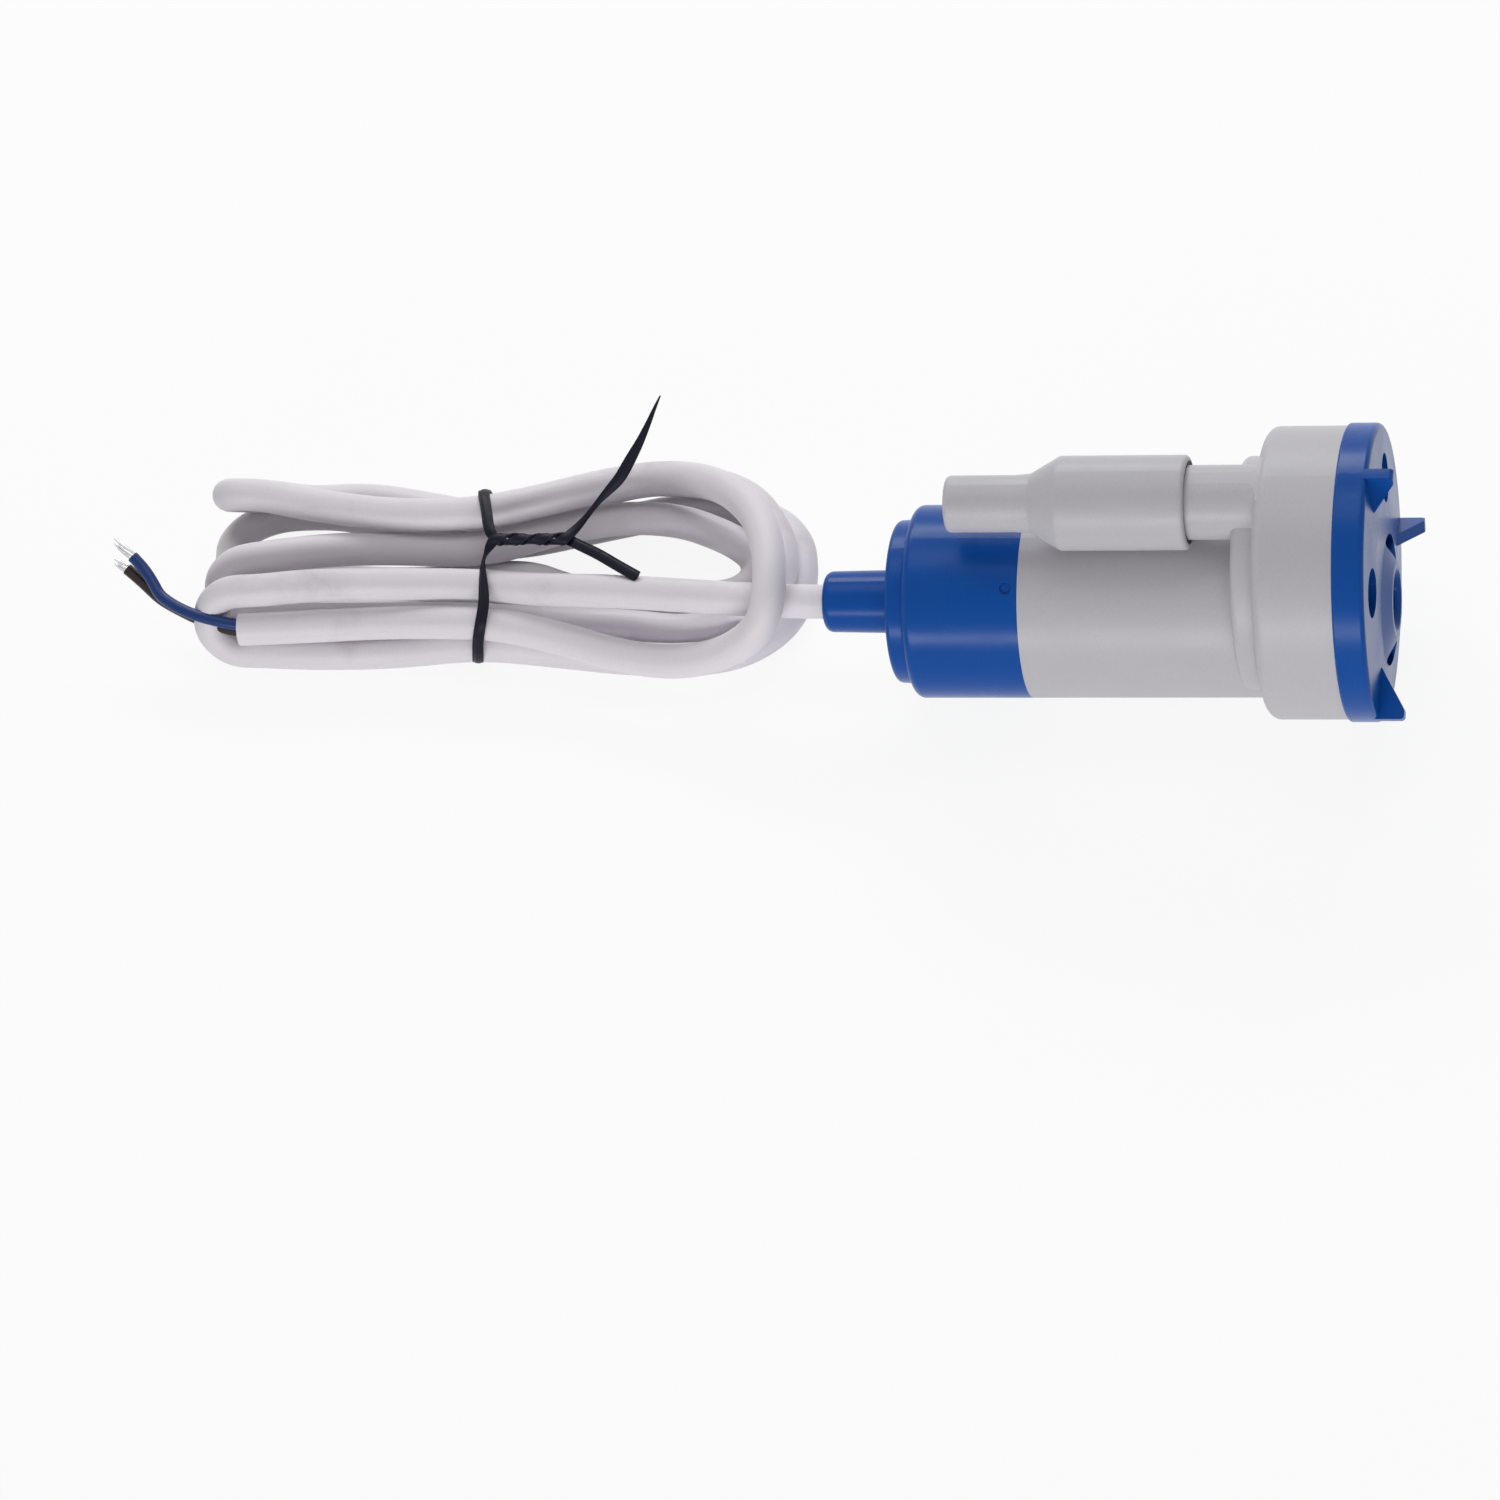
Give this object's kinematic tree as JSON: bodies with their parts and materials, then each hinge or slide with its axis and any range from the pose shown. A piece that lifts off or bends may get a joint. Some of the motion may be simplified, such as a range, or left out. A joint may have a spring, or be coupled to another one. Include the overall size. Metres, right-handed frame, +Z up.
{
  "type": "submersible pump",
  "caption": "Small submersible pump lying on its side: round grey housing, blue end cap and footed intake base, side outlet with a pushed-on valve, and a lead tied in a hank.",
  "frame": {"origin": "on the surface that the pump lies on, under the middle of the pump without its free lead", "axes": "+X along the motor axis towards the intake base; +Z up, the outlet tube is above the motor; -Y towards the camera of the picture"},
  "size_m": [0.2631, 0.0672, 0.0566],
  "materials": {
    "grey_plastic": "satin",
    "blue_plastic": "gloss",
    "white_plastic": "satin",
    "black_plastic": "matte",
    "black_rubber": "matte",
    "cable_jacket": "satin",
    "core_blue": "satin",
    "core_brown": "satin",
    "tinned_copper": "satin",
    "tie_plastic": "satin",
    "dark_steel": "satin",
    "bright_steel": "polished",
    "core_steel": "matte",
    "magnet": "matte",
    "bronze": "satin",
    "brass": "satin",
    "carbon": "matte",
    "copper": "satin"
  },
  "bodies": {
    "pump": {"motor_housing": "grey_plastic", "end_cap": "blue_plastic", "cap_seal_ring": "black_rubber", "cable_grommet": "black_rubber", "cable_inner": "cable_jacket", "lead_blue_inner": "core_blue", "lead_brown_inner": "core_brown", "base_plate": "blue_plastic", "chamber_cover": "grey_plastic", "base_gasket": "black_rubber", "base_screws": "dark_steel", "shaft_seal": "black_rubber", "seal_retainer": "bright_steel", "valve_body": "grey_plastic", "valve_end_ring": "black_rubber", "valve_seat": "grey_plastic", "motor_can": "bright_steel", "motor_end_bell": "black_plastic", "motor_terminals": "brass", "mount_rings": "black_rubber", "magnets": "magnet", "front_bush": "bronze", "rear_bush": "bronze", "brushes": "carbon", "brush_arms": "bronze", "cable_lead": "cable_jacket", "cable_hank": "cable_jacket", "core_blue_end": "core_blue", "core_brown_end": "core_brown", "tinned_ends": "tinned_copper", "twist_tie": "tie_plastic"},
    "rotor": {"rotor_shaft": "bright_steel", "armature_core": "core_steel", "armature_windings": "copper", "commutator": "copper", "shaft_washers": "white_plastic", "impeller": "white_plastic"},
    "poppet": {"valve_poppet": "white_plastic", "poppet_seal": "black_rubber"}
  },
  "joints": [
    {"name": "rotor_spin", "type": "hinge", "parent": "pump", "child": "rotor", "pos_m": [0, 0, 0.01995], "axis": [1, 0, 0], "continuous": true},
    {"name": "valve_lift", "type": "slide", "parent": "pump", "child": "poppet", "axis": [-1, 0, 0], "range_m": [0, 0.003]}
  ]
}
